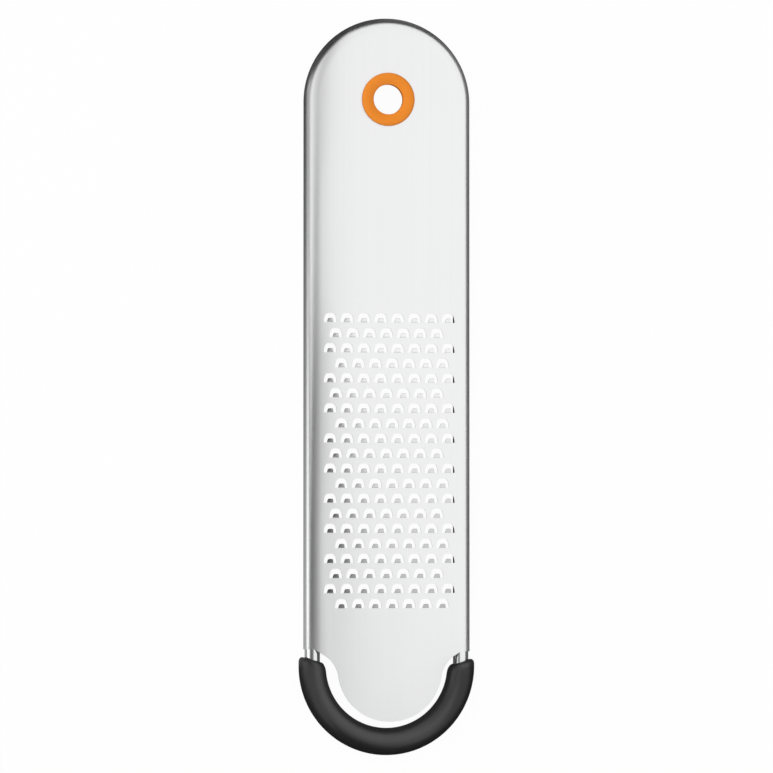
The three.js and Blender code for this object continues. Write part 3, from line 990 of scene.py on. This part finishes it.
def between_rows(places, rows):
    """Columns of values at places, from rows that each give a place and the values there."""
    keys, *columns = np.array(rows).T
    return [np.interp(places, keys, column) for column in columns]


def add_bands(name, left, right, shades, fades):
    """A card in bands, each between neighbouring points of two lines. A band runs from a dark to a
    light shade between two places on X. It takes the mean of what is given at its two ends."""
    for step in range(len(left) - 1):
        ends = slice(step, step + 2)
        corners = [left[step], right[step], right[step + 1], left[step + 1]]
        add_card(name, corners, shades[ends].mean(axis=0), fades[ends].mean(axis=0), "X")


def add_near_flag(rows):
    """A narrow card that lies level, close over the left side of the sheet. Its edges and shades
    change along Y."""
    y = np.linspace(rows[0][0], rows[-1][0], NEAR_FLAG_STEPS + 1)
    left, right, dark, light = between_rows(y, rows)
    height = np.full(len(y), NEAR_FLAG_HEIGHT)
    left_edge = np.stack([left, y, height], axis=-1)
    right_edge = np.stack([right, y, height], axis=-1)
    fades = np.tile(NEAR_FLAG_FADE, (len(y), 1))
    add_bands("near_flag", left_edge, right_edge, np.stack([dark, light], axis=-1), fades)


def add_near_screen(shade_rows, fade_rows):
    """A wide card past the foot that leans away from it. It is dark on the left, and its shade on
    the right and the line between the two change with height."""
    share = np.linspace(0, 1, SCREEN_STEPS + 1)
    y = SCREEN_FOOT_Y - SCREEN_LEAN * share
    z = SCREEN_FOOT_HEIGHT + SCREEN_RISE * share
    x = np.full(len(share), SCREEN_HALF_WIDTH)
    (light,) = between_rows(share, shade_rows)
    shades = np.stack([np.full(len(share), SCREEN_DARK), light], axis=-1)
    fades = np.stack(between_rows(share, fade_rows), axis=-1)
    left_edge, right_edge = (np.stack([side * x, y, z], axis=-1) for side in (-1, 1))
    add_bands("near_screen", left_edge, right_edge, shades, fades)


# Rows of the near flag: place along Y, left edge, right edge, dark shade, light shade
near_flag_rows = (
    (-110, -48, -20, 0.16, 0.76),
    (-60, -43, -21.5, 0.13, 0.88),
    (-33, -39, -20, 0.11, 0.76),
    (14, -35, -19.5, 0.09, 0.8),
    (40, -33, -22.5, 0.06, 1.05),
    (70, -32, -23, 0.06, 1.05),
    (105, -31, -20, 0.26, 0.84),
    (180, -30, -19, 0.4, 0.84),
)

# Flags over the object and mats on the floor: name, ends along X and along Y, height, shades, and
# where along Y the shades lie
flags = (
    ("high_flag", (-60, -11), (-130, 20), HIGH_FLAG_HEIGHT, (0.3, 1.0), (-90, 20)),
    ("head_flag", (-120, -10), (20, 180), HIGH_FLAG_HEIGHT, (0.93, 0.93)),
    ("foot_flag", (-150, 150), (-240, -165), FOOT_FLAG_HEIGHT, (0.52, 0.52)),
    ("left_arm_flag", (-60, -27), (-150, -108), ARM_FLAG_HEIGHT, (0.5, 0.5)),
    ("right_arm_flag", (26, 60), (-150, -108), ARM_FLAG_HEIGHT, (0.42, 0.42)),
)
mats = (
    ("mat_left", (-500, 0), (-300, 500), 0.4, (0.42, 0.06)),
    # painted shade: a dark card under the sheet, seen only in reflections, stands in for the floor's
    # shadow there; it is lighter towards the foot
    ("mat_middle", (-28, 28), (-132, 150), 0.6, (0.09, 0.025), (-106, -98)),
    ("mat_foot", (-500, 500), (-400, -109), 0.5, (0.03, 0.03)),
    ("mat_right", (0, 500), (-300, 500), 0.4, (0.13, 0.13)),
)

# Panels at the left: name, angles, shades, where along Y the shades lie, and ends along Y
left_panels = (
    ("panel_high", (12, 36), (0.27, 1.18), (-36, 38)),
    ("panel_middle", (36, 53), (0.46, 0.2), (-91, -30)),
    ("panel_low", (53, 83), (1.7, 0.3), (-95, 108)),
    ("panel_floor", (83, 90), (0.9, 0.2), (-110, 115)),
    ("panel_foot", (30, 90), (0.3, 0.3), FOOT_PANEL_ENDS, FOOT_PANEL_ENDS),
)

# Walls round the object: name, start and end in plan, lowest and highest place, shade
walls = (
    ("far_wall", (-700, 500), (700, 500), (0, 290), 0.03),
    ("arch_wall", (-300, 228), (-12, 480), (0, 400), 0.02),
    ("right_wall", (500, -700), (500, 700), (0, 240), 0.16),
    ("near_wall", (-700, -200), (700, -200), (0, 60), 0.05),
)

# Rows of the screen: share of its rise with its light shade, and with the ends of its fade along X
screen_shade_rows = (
    (0, 0.45),
    (0.2, 0.63),
    (0.25, 0.74),
    (0.45, 0.93),
    (0.54, 0.99),
    (0.64, 1.12),
    (0.8, 1.12),
    (0.86, 0.4),
    (1, 0.4),
)
screen_fade_rows = (
    (0, -12, 18),
    (0.2, 3.5, 27),
    (0.45, 17.5, 34.5),
    (0.54, 20, 33.5),
    (0.64, 25, 36),
    (1, 45, 52),
)

floor_span = (-FLOOR_HALF, FLOOR_HALF)
add_plane("floor", level_corners(floor_span, floor_span, 0), floor_material())
add_near_flag(near_flag_rows)
for flag in flags:
    add_level_card(*flag)
for panel in left_panels:
    add_left_panel(*panel)
for mat in mats:
    add_level_card(*mat)
for wall in walls:
    add_wall(*wall)
add_near_screen(screen_shade_rows, screen_fade_rows)


def set_world():
    """White where it is seen, and weaker where it lights the object."""
    world = bpy.data.worlds.new("studio")
    bpy.context.scene.world = world
    world.use_nodes = True
    tree = world.node_tree
    background = tree.nodes["Background"]
    background.inputs["Color"].default_value = WHITE
    strength = value_between(tree, is_seen(tree), WORLD_LIGHT, 1.0)
    tree.links.new(strength, background.inputs["Strength"])


def add_softbox(name, place, size, power):
    """A large soft lamp over the object, aimed at it, that doesn't show in reflections. Its power is
    in watts."""
    lamp = bpy.data.lights.new(name, "AREA")
    lamp.shape = "SQUARE"
    lamp.size = size * MILLIMETRE
    lamp.energy = power
    softbox = bpy.data.objects.new(name, lamp)
    bpy.context.scene.collection.objects.link(softbox)
    position = np.array(place, dtype=float) * MILLIMETRE
    softbox.location = position
    aim = Vector(-position)
    softbox.rotation_euler = aim.to_track_quat("-Z", "Y").to_euler()
    softbox.visible_glossy = False


def set_camera():
    """A long lens over the grater, tilted a little towards -X and -Y. Y is upright in its picture."""
    data = bpy.data.cameras.new("photo_view")
    data.sensor_width = SENSOR_WIDTH
    data.lens = SENSOR_WIDTH * CAMERA_DISTANCE / VIEW_WIDTH
    data.clip_end = CAMERA_CLIP_END
    camera = bpy.data.objects.new("photo_view", data)
    bpy.context.scene.collection.objects.link(camera)
    tilt, lean = math.radians(CAMERA_TILT), math.radians(CAMERA_LEAN)
    backward = Vector((-math.tan(tilt), -math.tan(lean), 1)).normalized()
    right = Vector((0, 1, 0)).cross(backward).normalized()
    upward = backward.cross(right)
    aim = Vector((*CAMERA_OFFSET, wire_height))
    camera.location = (aim + backward * CAMERA_DISTANCE) * MILLIMETRE
    camera.rotation_euler = Matrix((right, upward, backward)).transposed().to_euler()
    bpy.context.scene.camera = camera


set_world()
add_softbox("key_softbox", place=(-800, 400, 1200), size=1200, power=15.5)
add_softbox("fill_softbox", place=(700, -300, 1200), size=1000, power=3.5)
set_camera()
bpy.context.scene.view_settings.view_transform = "Standard"
